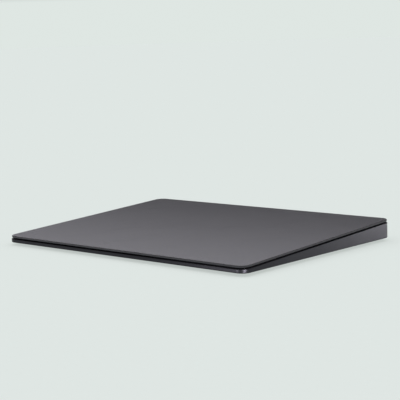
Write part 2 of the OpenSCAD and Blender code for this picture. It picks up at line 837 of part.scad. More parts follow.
module power_slider() color("#6a696e") difference() {
    union() {
        translate([knob_x - flange_l / 2, flange_front, port_z - flange_h / 2])
            cube([flange_l, flange_t, flange_h]);
        translate([knob_x, (flange_front + knob_face) / 2, port_z])
            obround_y(knob_l, knob_h, knob_face - flange_front);
    }
    for (i = [0:groove_n - 1])
        translate([knob_x + (i - (groove_n - 1) / 2) * 2 * groove_w, knob_face, port_z])
            cube([groove_w, groove_w, knob_h / 2], center = true);
    mark_space(fit, 1);
    translate([knob_x, flange_front, port_z])
        cube([lever_w + 2 * fit, 2 * lever_notch, lever_h + 2 * fit], center = true);
}

// Space of the coloured mark beside the knob, with a side clearance and extra height above the flange
module mark_space(spare, proud) {
    span([mark_left - spare, flange_rear - mark_t, port_z - mark_h / 2 - spare],
         [mark_right + spare, flange_rear + proud, port_z + mark_h / 2 + spare]);
}

module slider_on_mark() color("#3fae57") mark_space(0, 0);

module switch_lever() color("#1d1d1f")
    span([knob_x - lever_w / 2, flange_front - slip - lever_reach, port_z - lever_h / 2],
         [knob_x + lever_w / 2, flange_front + lever_notch, port_z + lever_h / 2]);

module switch_guide() color("#232325") difference() {
    span([switch_x - guide_l / 2, guide_front, port_z - guide_h / 2],
         [switch_x + guide_l / 2, flange_rear, port_z + guide_h / 2]);
    span([switch_x - guide_l, guide_rear, port_z - flange_h / 2 - slip],
         [switch_x + guide_l, flange_rear + 1, port_z + flange_h / 2 + slip]);
    span([knob_x - lever_w / 2 - knob_clear, guide_rear - lever_reach - knob_clear,
          port_z - lever_h / 2 - slip],
         [knob_x + lever_w / 2 + switch_travel + knob_clear, guide_rear + 1, port_z + lever_h / 2 + slip]);
}

module switch_board() color("#1f3d2b")
    span([switch_x - guide_l / 2 - switch_tail_w - 2 * switch_tail_gap, switch_board_front,
          port_z - guide_h / 2],
         [switch_x + guide_l / 2, guide_front, port_z + guide_h / 2]);

module switch_holder() color("#9b9c9f") difference() {
    union() {
        span([switch_x - guide_l / 2, holder_front, floor_z],
             [switch_x + guide_l / 2, switch_board_front, port_z + guide_h / 2]);
        span([switch_x - guide_l / 2, holder_front - holder_foot, floor_z],
             [switch_x + guide_l / 2, holder_front + holder_t, floor_z + holder_t]);
    }
    holder_screw_places() screw_hole(holder_t + 1);
}

// Touch plate

module touch_glass() color("#6b6a6f") on_plane() {
    w = pad_w - 2 * glass_inset;
    d = plane_d - 2 * glass_inset;
    translate([0, 0, glass_z]) {
        for (x = [-1, 1], y = [-1, 1]) translate([x * (w / 2 - glass_r), y * (d / 2 - glass_r), 0])
            rotate_extrude() right_half() glass_section(2 * glass_r);
        rotate([90, 0, 90]) linear_extrude(w - 2 * glass_r, center = true) glass_section(d);
        rotate([90, 0, 0]) linear_extrude(d - 2 * glass_r, center = true) glass_section(w);
    }
}

module touch_sheet(level, t) {
    back = wall + touch_board_clear;
    on_plane() translate([0, 0, level])
        rounded_plate(pad_w - 2 * back, plane_d - 2 * back, t, max(corner_r - back, 1));
}

module panel_adhesive() color("#202022") touch_sheet(sheet_z, adhesive_t);

module touch_board() color("#141416") touch_sheet(touch_z, touch_board_t);

module touch_controller() color("#17171a") on_plane()
    translate([-chip_l / 2, chip_y - chip_l / 2, touch_z - chip_t]) cube([chip_l, chip_l, chip_t]);

module touch_plug() color("#1d1d1f") on_plane()
    translate([touch_ribbon_x - touch_plug_w / 2, touch_plug_y / cos(tilt), touch_z - top_plug_h])
        cube([touch_plug_w, touch_plug_d, top_plug_h]);

// Each node is drawn by itself or with all the others
lower_case();
for (c = CORNERS) foot(c);
battery_adhesive();
battery_cell();
battery_guard_board();
battery_ribbon();
battery_plug();
logic_board();
logic_board_screws();
main_controller();
radio_module();
charge_inductor();
board_capacitors();
touch_socket();
touch_ribbon();
ribbon_plugs();
sensor_ribbon();
for (c = CORNERS) flexure(c);
flexure_screws();
strain_gauges();
haptic_bracket();
haptic_screws();
haptic_core();
haptic_coils();
haptic_ribbon();
antenna_carrier();
antenna_element();
port_shell();
port_tongue();
port_contacts();
port_board();
port_screws();
port_ribbon();
switch_guide();
switch_board();
switch_holder();
switch_lever();
power_slider();
slider_on_mark();
for (c = CORNERS) tip_plate(c);
for (c = CORNERS) gel_pad(c);
touch_glass();
panel_adhesive();
touch_board();
touch_controller();
touch_plug();
haptic_armature();
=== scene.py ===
import json
import math

import bmesh
import bpy
from mathutils import Matrix, Vector


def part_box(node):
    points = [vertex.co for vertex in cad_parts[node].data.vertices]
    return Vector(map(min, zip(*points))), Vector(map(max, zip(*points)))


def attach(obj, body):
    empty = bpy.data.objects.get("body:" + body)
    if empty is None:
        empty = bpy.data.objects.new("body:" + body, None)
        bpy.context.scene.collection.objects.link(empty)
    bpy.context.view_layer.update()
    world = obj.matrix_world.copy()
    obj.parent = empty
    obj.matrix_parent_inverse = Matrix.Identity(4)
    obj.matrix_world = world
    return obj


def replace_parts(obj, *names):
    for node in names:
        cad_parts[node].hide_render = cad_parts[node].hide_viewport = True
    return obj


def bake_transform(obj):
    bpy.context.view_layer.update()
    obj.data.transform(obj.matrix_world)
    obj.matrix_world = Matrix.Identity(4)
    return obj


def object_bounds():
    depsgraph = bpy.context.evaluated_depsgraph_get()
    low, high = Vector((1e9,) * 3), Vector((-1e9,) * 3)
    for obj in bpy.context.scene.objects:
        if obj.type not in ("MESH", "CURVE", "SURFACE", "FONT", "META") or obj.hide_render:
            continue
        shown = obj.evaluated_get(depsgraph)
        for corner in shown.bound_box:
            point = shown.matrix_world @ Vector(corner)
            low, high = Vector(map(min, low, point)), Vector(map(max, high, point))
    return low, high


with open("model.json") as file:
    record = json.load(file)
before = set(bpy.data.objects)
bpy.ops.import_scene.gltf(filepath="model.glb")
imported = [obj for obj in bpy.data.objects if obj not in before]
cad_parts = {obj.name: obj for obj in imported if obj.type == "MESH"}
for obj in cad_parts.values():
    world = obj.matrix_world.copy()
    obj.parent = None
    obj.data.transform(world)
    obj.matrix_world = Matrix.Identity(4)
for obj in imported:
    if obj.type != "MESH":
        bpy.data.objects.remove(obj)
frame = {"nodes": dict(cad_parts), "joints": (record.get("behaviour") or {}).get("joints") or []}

# Lengths are in metres, in the frame of the solids: +Z up, the front of the pad at -Y.
CAD_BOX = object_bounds()
MM = 0.001

# Camera, as it stood for the photograph, with its angles in degrees and its sensor in millimetres
CAMERA_PLACE = Vector((408.74, -446.64, 102.22)) * MM
CAMERA_AZIMUTH = 42.217
CAMERA_ELEVATION = 7.566
CAMERA_ROLL = -1.823
NEAREST_SEEN = 10 * MM
SENSOR_WIDTH = 36.0
FOCAL_PIXELS = 1199.49
IMAGE_PIXELS = 400

# Tilt of the touch plate, from the axis along which it is pressed
PRESS_AXIS = Vector(next(j["axis"] for j in frame["joints"] if j["name"] == "plate_press"))
PLATE_TILT = math.atan2(PRESS_AXIS.y, -PRESS_AXIS.z)


# Tools for materials and light

# Radians that a wave texture runs through in one unit of length, at a scale of 1
WAVE_RATE = 20


class Nodes:
    """Short ways to add nodes to an emptied node tree."""

    def __init__(self, tree):
        self.tree = tree
        self.tree.nodes.clear()

    def node(self, kind, inputs=None, **properties):
        """Adds a node. Each input is a value, or the output of another node."""
        made = self.tree.nodes.new(kind)
        for name, value in properties.items():
            setattr(made, name, value)
        for socket, value in (inputs or {}).items():
            if isinstance(value, bpy.types.NodeSocket):
                self.tree.links.new(value, made.inputs[socket])
            else:
                made.inputs[socket].default_value = value
        return made

    def spread(self, factor, low, high, start=0.0, end=1.0):
        """Maps start..end of a factor to low..high."""
        mapped = self.node("ShaderNodeMapRange", {
            "Value": factor, "From Min": start, "From Max": end, "To Min": low, "To Max": high})
        return mapped.outputs["Result"]

    def math(self, operation, first, second=0.0):
        made = self.node("ShaderNodeMath", {0: first, 1: second}, operation=operation)
        return made.outputs["Value"]

    def ramp(self, factor, *stops):
        """Colour of each place from (position, colour) stops."""
        made = self.node("ShaderNodeValToRGB", {"Fac": factor})
        elements = made.color_ramp.elements
        while len(elements) < len(stops):
            elements.new(0.5)
        for element, (position, colour) in zip(elements, stops):
            element.position = position
            element.color = (*colour, 1.0)
        return made.outputs["Color"]

    def layer(self, under, over, factor):
        """One colour laid over another where the factor is 1."""
        mixed = self.node("ShaderNodeMixRGB", {"Fac": factor, "Color1": under, "Color2": over})
        return mixed.outputs["Color"]


class Surface(Nodes):
    """One material of the record, rebuilt as a principled shader fed by procedural textures."""

    def __init__(self, name, settings=None):
        self.material = bpy.data.materials.get(name) or bpy.data.materials.new(name)
        self.material.use_nodes = True
        super().__init__(self.material.node_tree)
        self.shader = self.node("ShaderNodeBsdfPrincipled", settings)
        self.output = self.node("ShaderNodeOutputMaterial", {"Surface": self.shader.outputs["BSDF"]})
        self.place = self.node("ShaderNodeTexCoord").outputs["Object"]

    def noise(self, size, detail=2.0, stretch=(1.0, 1.0, 1.0)):
        """Soft mottling whose blotches are about this size."""
        place = self.node("ShaderNodeMapping", {"Vector": self.place, "Scale": stretch})
        texture = self.node("ShaderNodeTexNoise", {
            "Vector": place.outputs["Vector"], "Scale": 1 / size, "Detail": detail})
        return texture.outputs["Fac"]

    def cells(self, size, output="Distance"):
        """Scattered points about this far apart: the distance to the nearest one, or its own grey."""
        texture = self.node("ShaderNodeTexVoronoi", {"Vector": self.place, "Scale": 1 / size})
        return texture.outputs[output]

    def stripes(self, period, direction):
        """Straight bands across one direction, about a period apart."""
        scale = math.tau / (WAVE_RATE * period)
        texture = self.node("ShaderNodeTexWave", {"Vector": self.place, "Scale": scale},
                            wave_type="BANDS", bands_direction=direction)
        return texture.outputs["Fac"]

    def along(self, axis, start, end):
        """0 at start to 1 at end, along one axis of the object."""
        parts = self.node("ShaderNodeSeparateXYZ", {"Vector": self.place})
        return self.spread(parts.outputs[axis], 0.0, 1.0, start, end)

    def facing(self, direction):
        """1 where the surface faces a direction, 0 where it runs along it."""
        normal = self.node("ShaderNodeNewGeometry").outputs["Normal"]
        made = self.node("ShaderNodeVectorMath", {0: normal, 1: direction}, operation="DOT_PRODUCT")
        return made.outputs["Value"]

    def blend(self, first, second, share):
        """Weighted mean of two factors: share is the weight of the second."""
        mixed = self.node("ShaderNodeMix", {"Factor": share, "A": first, "B": second})
        return mixed.outputs["Result"]

    def colour(self, source):
        self.tree.links.new(source, self.shader.inputs["Base Color"])

    def roughness(self, factor, low, high):
        self.tree.links.new(self.spread(factor, low, high), self.shader.inputs["Roughness"])

    def bump(self, height, depth, strength=1.0):
        """Relief of this depth from a factor."""
        made = self.node("ShaderNodeBump", {"Height": height, "Distance": depth, "Strength": strength})
        self.tree.links.new(made.outputs["Normal"], self.shader.inputs["Normal"])


def shade(colour, level):
    """A colour made lighter or darker."""
    return tuple(min(1.0, c * level) for c in colour)


# Outer materials

def anodised_aluminium(name="anodised_aluminium", colour=(0.0348, 0.033, 0.0393)):
    """Bead-blasted and dyed: fine pits over a faint unevenness of the dye. What faces up lies under the
    touch plate, and was left matt."""
    s = Surface(name, {"Metallic": 1.0})
    cloud = s.noise(18 * MM, detail=4.0)
    pits = s.noise(0.11 * MM, detail=3.0)
    s.colour(s.ramp(s.blend(cloud, pits, 0.4), (0.3, shade(colour, 0.9)), (0.7, shade(colour, 1.1))))
    covered = s.spread(s.facing(-PRESS_AXIS), 0.0, 1.0, 0.9, 0.98)
    outside = s.spread(s.blend(cloud, pits, 0.6), 0.0, 0.25)
    s.roughness(s.blend(outside, 1.0, covered), 0.27, 0.67)
    s.bump(pits, 0.003 * MM)


def etched_glass():
    """Dark glass, etched to a satin face. Chosen by which way each part faces, the chamfer round it is
    painted near black as painted shade, and the upright polished edge a lighter grey than the face as
    painted light.
    """
    face = (0.034, 0.033, 0.038)
    # Painted shade: the chamfer's near black. Painted light: the upright edge's grey, lighter than the
    # face.
    chamfer_painted_shade = (0.006, 0.006, 0.007)
    edge = (0.046, 0.044, 0.053)
    s = Surface("etched_glass", {"IOR": 1.5, "Specular IOR Level": 0.35})
    cloud = s.noise(25 * MM, detail=3.0)
    etch = s.noise(0.05 * MM, detail=2.0)
    upward = s.facing(-PRESS_AXIS)
    satin = s.spread(upward, 0.0, 1.0, 0.8, 0.98)
    mottle = s.blend(cloud, etch, 0.8)
    # The sides take the edge's painted light where they stand upright, and the chamfer's painted shade
    # where they lean up.
    sides = s.layer(s.ramp(etch, (0.3, shade(edge, 0.8)), (0.7, shade(edge, 1.2))),
                    s.ramp(etch, (0.3, shade(chamfer_painted_shade, 0.8)), (0.7, shade(chamfer_painted_shade, 1.2))),
                    s.spread(upward, 0.0, 1.0, 0.35, 0.6))
    s.colour(s.layer(sides, s.ramp(mottle, (0.3, shade(face, 0.97)), (0.7, shade(face, 1.03))), satin))
    s.roughness(s.math("MULTIPLY", s.spread(mottle, 0.85, 1.0), satin), 0.12, 0.29)
    s.bump(s.math("MULTIPLY", etch, satin), 0.0008 * MM)


def foot_rubber():
    colour = (0.035, 0.035, 0.037)
    s = Surface("foot_rubber", {"Specular IOR Level": 0.3})
    mould = s.noise(0.25 * MM, detail=4.0)
    wear = s.noise(2.5 * MM, detail=3.0)
    s.colour(s.ramp(wear, (0.35, shade(colour, 0.8)), (0.7, shade(colour, 1.5))))
    s.roughness(mould, 0.68, 0.9)
    s.bump(mould, 0.02 * MM)


def slider_metal():
    anodised_aluminium("slider_metal", (0.085, 0.084, 0.089))


def green_mark():
    """Paint that shows beside the power slider when it is on."""
    s = Surface("green_mark")
    coat = s.noise(0.3 * MM, detail=3.0)
    s.colour(s.ramp(coat, (0.3, (0.026, 0.34, 0.076)), (0.7, (0.034, 0.39, 0.09))))
    s.roughness(coat, 0.38, 0.55)
    s.bump(coat, 0.004 * MM)


# Metals inside

def worked_metal(name, colour, grain, stretch, rough, depth):
    """Bare metal with drawn or rolled lines: blotches of one size, stretched along the grain."""
    s = Surface(name, {"Metallic": 1.0})
    lines = s.noise(grain, detail=3.0, stretch=stretch)
    stain = s.noise(4 * MM, detail=4.0)
    s.colour(s.ramp(s.blend(lines, stain, 0.5), (0.3, shade(colour, 0.82)), (0.7, shade(colour, 1.1))))
    s.roughness(lines, *rough)
    s.bump(lines, depth)


def metals():
    rolled_x = (0.06, 1.0, 1.0)
    rolled_y = (1.0, 0.06, 1.0)
    even = (1.0, 1.0, 1.0)
    worked_metal("spring_steel", (0.56, 0.56, 0.55), 0.12 * MM, rolled_x, (0.24, 0.42), 0.003 * MM)
    worked_metal("screw_steel", (0.42, 0.42, 0.43), 0.15 * MM, even, (0.22, 0.4), 0.004 * MM)
    worked_metal("magnet_steel", (0.33, 0.33, 0.34), 0.1 * MM, rolled_y, (0.3, 0.5), 0.004 * MM)
    worked_metal("shell_steel", (0.52, 0.52, 0.52), 0.08 * MM, rolled_y, (0.2, 0.36), 0.002 * MM)
    worked_metal("shield_metal", (0.60, 0.60, 0.58), 0.5 * MM, even, (0.28, 0.46), 0.006 * MM)
    worked_metal("gold_contact", (0.83, 0.60, 0.24), 0.05 * MM, rolled_y, (0.18, 0.32), 0.001 * MM)
    worked_metal("copper_foil", (0.80, 0.42, 0.25), 0.2 * MM, rolled_x, (0.26, 0.44), 0.003 * MM)


def copper_wire():
    """Copper under clear varnish."""
    s = Surface("copper_wire", {"Metallic": 1.0, "Coat Weight": 0.6, "Coat Roughness": 0.12})
    drawn = s.noise(0.1 * MM, detail=2.0, stretch=(0.1, 1.0, 1.0))
    tint = s.noise(1.2 * MM, detail=3.0)
    s.colour(s.ramp(s.blend(drawn, tint, 0.6), (0.3, (0.42, 0.15, 0.06)), (0.7, (0.66, 0.27, 0.12))))
    s.roughness(drawn, 0.22, 0.38)
    s.bump(drawn, 0.002 * MM)


# Boards, ribbons and their parts

def printed_board(name, mask, copper, face=None):
    """Solder mask over copper: lanes of tracks that turn from field to field, and plated holes. Where a
    direction is given for the broad faces of a board, its cut edges are bare."""
    s = Surface(name, {"Coat Weight": 0.3, "Coat Roughness": 0.25})
    field = s.math("GREATER_THAN", s.cells(5 * MM, "Color"), 0.5)
    lanes = s.blend(s.stripes(0.7 * MM, "X"), s.stripes(0.7 * MM, "Y"), field)
    tracks = s.spread(lanes, 0.0, 1.0, 0.62, 0.7)
    holes = s.spread(s.cells(2.2 * MM), 1.0, 0.0, 0.09, 0.11)
    if face is not None:
        broad = s.spread(s.math("ABSOLUTE", s.facing(face)), 0.0, 1.0, 0.8, 0.9)
        tracks = s.math("MULTIPLY", tracks, broad)
        holes = s.math("MULTIPLY", holes, broad)
    weave = s.noise(0.2 * MM, detail=3.0)
    base = s.ramp(weave, (0.3, shade(mask, 0.85)), (0.7, shade(mask, 1.15)))
    s.colour(s.layer(s.layer(base, s.ramp(weave, (0.3, shade(mask, 1.5)), (0.7, shade(mask, 1.9))), tracks),
                     s.ramp(weave, (0.3, shade(copper, 0.85)), (0.7, copper)), holes))
    s.roughness(s.blend(weave, tracks, 0.4), 0.34, 0.52)
    s.bump(s.math("MAXIMUM", tracks, holes), 0.03 * MM, 0.6)


def boards():
    printed_board("green_board", (0.012, 0.055, 0.028), (0.62, 0.45, 0.2))
    printed_board("black_board", (0.012, 0.012, 0.013), (0.55, 0.42, 0.22), PRESS_AXIS)


def amber_ribbon():
    """Amber film over a hatched copper screen."""
    s = Surface("amber_ribbon", {"Coat Weight": 0.5, "Coat Roughness": 0.2})
    hatch = s.math("MAXIMUM", s.stripes(0.9 * MM, "DIAGONAL"), s.stripes(0.9 * MM, "X"))
    screen = s.spread(hatch, 0.0, 1.0, 0.72, 0.82)
    film = s.noise(1.5 * MM, detail=3.0)
    amber = s.ramp(film, (0.3, (0.33, 0.15, 0.025)), (0.7, (0.46, 0.23, 0.045)))
    s.colour(s.layer(amber, s.ramp(film, (0.3, (0.55, 0.30, 0.09)), (0.7, (0.66, 0.38, 0.13))), screen))
    s.roughness(film, 0.3, 0.45)
    s.bump(screen, 0.01 * MM, 0.5)


def cell_pouch():
    """Grey laminate drawn over the cell, with the orange peel and shallow creases of such a pouch."""
    colour = (0.075, 0.077, 0.082)
    s = Surface("cell_pouch", {"Coat Weight": 0.15, "Coat Roughness": 0.35})
    peel = s.noise(0.5 * MM, detail=3.0)
    crease = s.noise(6 * MM, detail=5.0, stretch=(0.5, 1.0, 1.0))
    s.colour(s.ramp(s.blend(peel, crease, 0.6), (0.3, shade(colour, 0.8)), (0.7, shade(colour, 1.2))))
    s.roughness(peel, 0.42, 0.6)
    s.bump(s.blend(peel, crease, 0.7), 0.12 * MM, 0.7)


def chip_plastic():
    """Black epoxy, with fine pale filler and a matt moulded face."""
    s = Surface("chip_plastic")
    filler = s.noise(0.06 * MM, detail=2.0)
    mould = s.noise(0.4 * MM, detail=3.0)
    s.colour(s.ramp(filler, (0.45, (0.012, 0.012, 0.013)), (0.75, (0.035, 0.035, 0.037))))
    s.roughness(mould, 0.55, 0.75)
    s.bump(mould, 0.01 * MM)


def dark_plastic():
    """Black moulded nylon with flow marks."""
    s = Surface("dark_plastic")
    flow = s.noise(0.8 * MM, detail=4.0, stretch=(0.3, 1.0, 1.0))
    spark = s.noise(0.08 * MM, detail=2.0)
    s.colour(s.ramp(flow, (0.3, (0.014, 0.014, 0.015)), (0.7, (0.026, 0.026, 0.028))))
    s.roughness(s.blend(flow, spark, 0.5), 0.4, 0.62)
    s.bump(spark, 0.006 * MM)


def ceramic():
    """Tan bodies with tinned ends."""
    low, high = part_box("board_capacitors")
    s = Surface("ceramic")
    fired = s.noise(0.15 * MM, detail=3.0)
    off_middle = s.math("ABSOLUTE", s.math("SUBTRACT", s.along("Y", low.y, high.y), 0.5))
    ends = s.spread(off_middle, 0.0, 1.0, 0.27, 0.3)
    body = s.ramp(fired, (0.3, (0.36, 0.26, 0.15)), (0.7, (0.48, 0.36, 0.22)))
    s.colour(s.layer(body, s.ramp(fired, (0.3, (0.52, 0.52, 0.51)), (0.7, (0.66, 0.66, 0.65))), ends))
    s.roughness(fired, 0.3, 0.5)
    s.bump(fired, 0.008 * MM)


def adhesives():
    for name, colour in (("white_adhesive", (0.66, 0.63, 0.55)), ("black_adhesive", (0.02, 0.02, 0.021))):
        s = Surface(name, {"Specular IOR Level": 0.3})
        fibre = s.noise(0.35 * MM, detail=5.0)
        s.colour(s.ramp(fibre, (0.3, shade(colour, 0.85)), (0.7, shade(colour, 1.15))))
        s.roughness(fibre, 0.6, 0.85)
        s.bump(fibre, 0.02 * MM)


def clear_gel():
    """Milky silicone pad."""
    s = Surface("clear_gel", {"Transmission Weight": 0.55, "IOR": 1.41})
    milk = s.noise(1.0 * MM, detail=3.0)
    s.colour(s.ramp(milk, (0.3, (0.62, 0.66, 0.70)), (0.7, (0.78, 0.81, 0.84))))
    s.roughness(milk, 0.2, 0.4)
    s.bump(milk, 0.02 * MM)


def make_materials():
    for build in (anodised_aluminium, etched_glass, foot_rubber, slider_metal, green_mark, metals,
                  copper_wire, boards, amber_ribbon, cell_pouch, chip_plastic, dark_plastic, ceramic,
                  adhesives, clear_gel):
        build()


# Pieces that take the place of solids

def new_piece(name, mesh, slot, body=None):
    """An object with the material of a slot, on a body if one is named."""
    piece = bpy.data.objects.new(name, mesh)
    bpy.context.scene.collection.objects.link(piece)
    mesh.materials.append(bpy.data.materials[slot])
    if body:
        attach(piece, body)
    return piece


TILT = Matrix.Rotation(PLATE_TILT, 3, "X")
# How many straight lengths stand for a round quarter turn
STEPS_PER_CORNER = 4


def level_points(node):
    """Points of a solid in a frame that is turned with the touch plate, in which the plate lies level."""
    return [TILT.transposed() @ v.co for v in frame["nodes"][node].data.vertices]


def corners(points):
    """Lowest and highest corner of the box round some points."""
    return (Vector(min(p[i] for p in points) for i in range(3)),
            Vector(max(p[i] for p in points) for i in range(3)))


def reach(node, direction):
    """Where a solid begins and ends in a direction, as points on a line through the origin."""
    places = [v.co.dot(direction) for v in frame["nodes"][node].data.vertices]
    return direction * min(places), direction * max(places)


def rounded_loop(half_width, half_height, radius):
    """Points of a rounded rectangle about the origin of a plane, once round."""
    points = []
    for quarter, (side, rise) in enumerate(((1, 1), (-1, 1), (-1, -1), (1, -1))):
        for step in range(STEPS_PER_CORNER + 1):
            angle = math.radians(90 * (quarter + step / STEPS_PER_CORNER))
            points.append(Vector((side * (half_width - radius) + radius * math.cos(angle),
                                  rise * (half_height - radius) + radius * math.sin(angle))))
    return points


def block_rings(low, high, profile):
    """Rings of a block, from the (height, inset, corner radius) of each ring."""
    middle = (low + high) / 2
    half = (high - low) / 2
    rings = []
    for height, inset, radius in profile:
        loop = rounded_loop(half.x - inset, half.y - inset, radius)
        rings.append([Vector((middle.x + p.x, middle.y + p.y, height)) for p in loop])
    return rings


def skin(bm, rings, joined=False):
    """Adds faces between rings of points. The last ring is joined to the first, or both are capped."""
    rings = [[bm.verts.new(point) for point in ring] for ring in rings]
    pairs = list(zip(rings, rings[1:]))
    if joined:
        pairs.append((rings[-1], rings[0]))
    else:
        bm.faces.new(rings[0][::-1])
        bm.faces.new(rings[-1])
    for a, b in pairs:
        for k in range(len(a)):
            j = (k + 1) % len(a)
            bm.faces.new((a[k], a[j], b[j], b[k]))


def finished_mesh(name, bm):
    """Turns all faces outward, smooths the four-sided ones and makes the mesh."""
    bmesh.ops.recalc_face_normals(bm, faces=bm.faces)
    for face in bm.faces:
        face.smooth = len(face.verts) == 4
    mesh = bpy.data.meshes.new(name)
    bm.to_mesh(mesh)
    bm.free()
    return mesh


# Each coil is a varnished wire wound in even turns round its leg of the core. The edges of a coil are found
# among the points of its solid, rounded to some digits
LEG_COUNT = 3
EDGE_DIGITS = 6
WIRE_RADIUS = 0.15 * MM
WIRE_SIDES = 6
COIL_CORNER = 3 * WIRE_RADIUS
CORE_CORNER = 0.5 * WIRE_RADIUS
CORE_CLEARANCE = 0.05 * MM


def wire_rings(centre, loop, length):
    """Rings of one wire, wound along Y from one end of a coil to the other."""
    turns = int(length / (2 * WIRE_RADIUS) - 1)
    count = turns * len(loop)
    path = []
    for i in range(count + 1):
        point = loop[i % len(loop)]
        path.append(Vector((point.x, (i / count - 0.5) * (length - 2 * WIRE_RADIUS), point.y)))
    rings = []
    for i, point in enumerate(path):
        ahead = path[min(i + 1, count)] - path[max(i - 1, 0)]
        side = ahead.cross(Vector((0.0, 1.0, 0.0))).normalized()
        up = side.cross(ahead).normalized()
        ring = []
        for k in range(WIRE_SIDES):
            angle = math.tau * k / WIRE_SIDES
            offset = (side * math.cos(angle) + up * math.sin(angle)) * WIRE_RADIUS
            ring.append(TILT @ (centre + point + offset))
        rings.append(ring)
    return rings


def layer_rings(centre, outer, inner, length):
    """Rings of the wound layers under the outer wire, a hollow block with rounded corners."""
    rings = []
    for loop, end in ((outer, -0.5), (outer, 0.5), (inner, 0.5), (inner, -0.5)):
        rings.append([TILT @ (centre + Vector((p.x, end * length, p.y))) for p in loop])
    return rings


def wound_coils():
    """Three coils in place of their plain solids, inside the same boxes."""
    points = level_points("haptic_coils")
    low, high = corners(points)
    core_low, core_high = corners(level_points("haptic_core"))
    edges = sorted({round(p.x, EDGE_DIGITS) for p in points})
    per_coil = len(edges) // LEG_COUNT
    middle = (low + high) / 2
    length = high.y - low.y
    half_height = (high.z - low.z) / 2 - WIRE_RADIUS
    half_hole = (core_high.z - core_low.z) / 2 + CORE_CLEARANCE
    bm = bmesh.new()
    for i in range(LEG_COUNT):
        own = edges[i * per_coil:(i + 1) * per_coil]
        centre = Vector(((own[0] + own[-1]) / 2, middle.y, middle.z))
        outer = rounded_loop((own[-1] - own[0]) / 2 - WIRE_RADIUS, half_height, COIL_CORNER)
        inner = rounded_loop((own[-2] - own[1]) / 2, half_hole, CORE_CORNER)
        skin(bm, wire_rings(centre, outer, length))
        skin(bm, layer_rings(centre, outer, inner, length - 2 * WIRE_RADIUS), joined=True)
    mesh = finished_mesh("haptic_windings", bm)
    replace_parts(new_piece("haptic_windings", mesh, "copper_wire", "base"), "haptic_coils")


# The cell is a drawn pouch: a crowned block with round edges, its side seals folded up against it, and a
# sealed terrace at the end that faces the guard board
POUCH_EDGE = 0.8 * MM
POUCH_CORNER = 2.0 * MM
CROWN = 0.15 * MM
CROWN_REACH = 9 * MM
TERRACE = 3.0 * MM
SEAL_THICKNESS = 0.4 * MM
SEAL_CORNER = 0.1 * MM
SEAL_BITE = 0.05 * MM


def pouch_profile(bottom, top):
    """Heights and insets of the pouch: a round lower edge, a round upper edge, and the crown."""
    shoulder = top - CROWN
    shares = [step / STEPS_PER_CORNER for step in range(STEPS_PER_CORNER + 1)]
    turns = [math.radians(90 * share) for share in shares]
    profile = []
    for turn in turns:
        profile.append((bottom + POUCH_EDGE * (1 - math.cos(turn)), POUCH_EDGE * (1 - math.sin(turn))))
    for turn in turns:
        profile.append((shoulder - POUCH_EDGE * (1 - math.sin(turn)), POUCH_EDGE * (1 - math.cos(turn))))
    for share in shares[1:]:
        profile.append((shoulder + CROWN * (1 - (1 - share) ** 2), POUCH_EDGE + CROWN_REACH * share))
    return [(height, inset, POUCH_CORNER) for height, inset in profile]


def seal_rings(low, high):
    """Rings of a sealed edge: a flat bar with its edges broken."""
    narrow = (SEAL_CORNER, SEAL_CORNER / 2)
    full = (0.0, SEAL_CORNER)
    return block_rings(low, high, [(low.z, *narrow), (low.z + SEAL_CORNER, *full),
                                   (high.z - SEAL_CORNER, *full), (high.z, *narrow)])


def pouch_cell():
    """The pouch in place of the plain cell, inside the same box. Its terrace ends at the guard board."""
    low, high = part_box("battery_cell")
    guard_low, guard_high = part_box("battery_guard_board")
    seal = Vector((0.0, SEAL_THICKNESS, 0.0))
    body_low = low + seal
    body_high = high - seal - Vector((TERRACE, 0.0, 0.0))
    bm = bmesh.new()
    skin(bm, block_rings(body_low, body_high, pouch_profile(low.z, high.z)))
    seal_low = low.z + POUCH_EDGE
    seal_high = high.z - CROWN - POUCH_EDGE
    for near, far in ((low.y, body_low.y + SEAL_BITE), (body_high.y - SEAL_BITE, high.y)):
        skin(bm, seal_rings(Vector((body_low.x + POUCH_CORNER, near, seal_low)),
                            Vector((body_high.x - POUCH_CORNER, far, seal_high))))
    skin(bm, seal_rings(Vector((body_high.x - SEAL_BITE, guard_low.y, guard_low.z)),
                        Vector((high.x, guard_high.y, guard_low.z + SEAL_THICKNESS))))
    mesh = finished_mesh("battery_pouch", bm)
    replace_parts(new_piece("battery_pouch", mesh, "cell_pouch", "base"), "battery_cell")


# Soft gel between a tip plate and the touch plate
GEL_CORNER = 1.2 * MM
GEL_BULGE = 0.15 * MM
GEL_RINGS = 7


def gel_pad(corner):
    """A pad with round corners, whose sides bulge between the two faces that it sticks to. It is built in
    rings, so that it could shear as the touch plate shifts."""
    node = "gel_pad_" + corner
    low, high = corners(level_points(node))
    profile = []
    for i in range(GEL_RINGS):
        share = i / (GEL_RINGS - 1)
        profile.append((low.z + (high.z - low.z) * share, GEL_BULGE * (2 * share - 1) ** 2, GEL_CORNER))
    bm = bmesh.new()
    skin(bm, [[TILT @ point for point in ring] for ring in block_rings(low, high, profile)])
    piece = new_piece(node + "_soft", finished_mesh(node + "_soft", bm), "clear_gel")
    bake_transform(piece)
    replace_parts(piece, node)


# The flexures, their gauges and the touch ribbon are copied in short lengths, along where they bend between
# two bodies
BEND_STEP = 1.0 * MM
# Points nearer than this are one point, edges shorter than a sliver go, and faces that meet at less than
# the flat angle are one face
SAME_POINT = 0.0001 * MM
SLIVER = 0.001 * MM
FLAT_ANGLE = math.radians(0.1)
# Where the beam of a flexure begins, as a share of its length from its middle towards the screws
BEAM_ROOT = 0.19


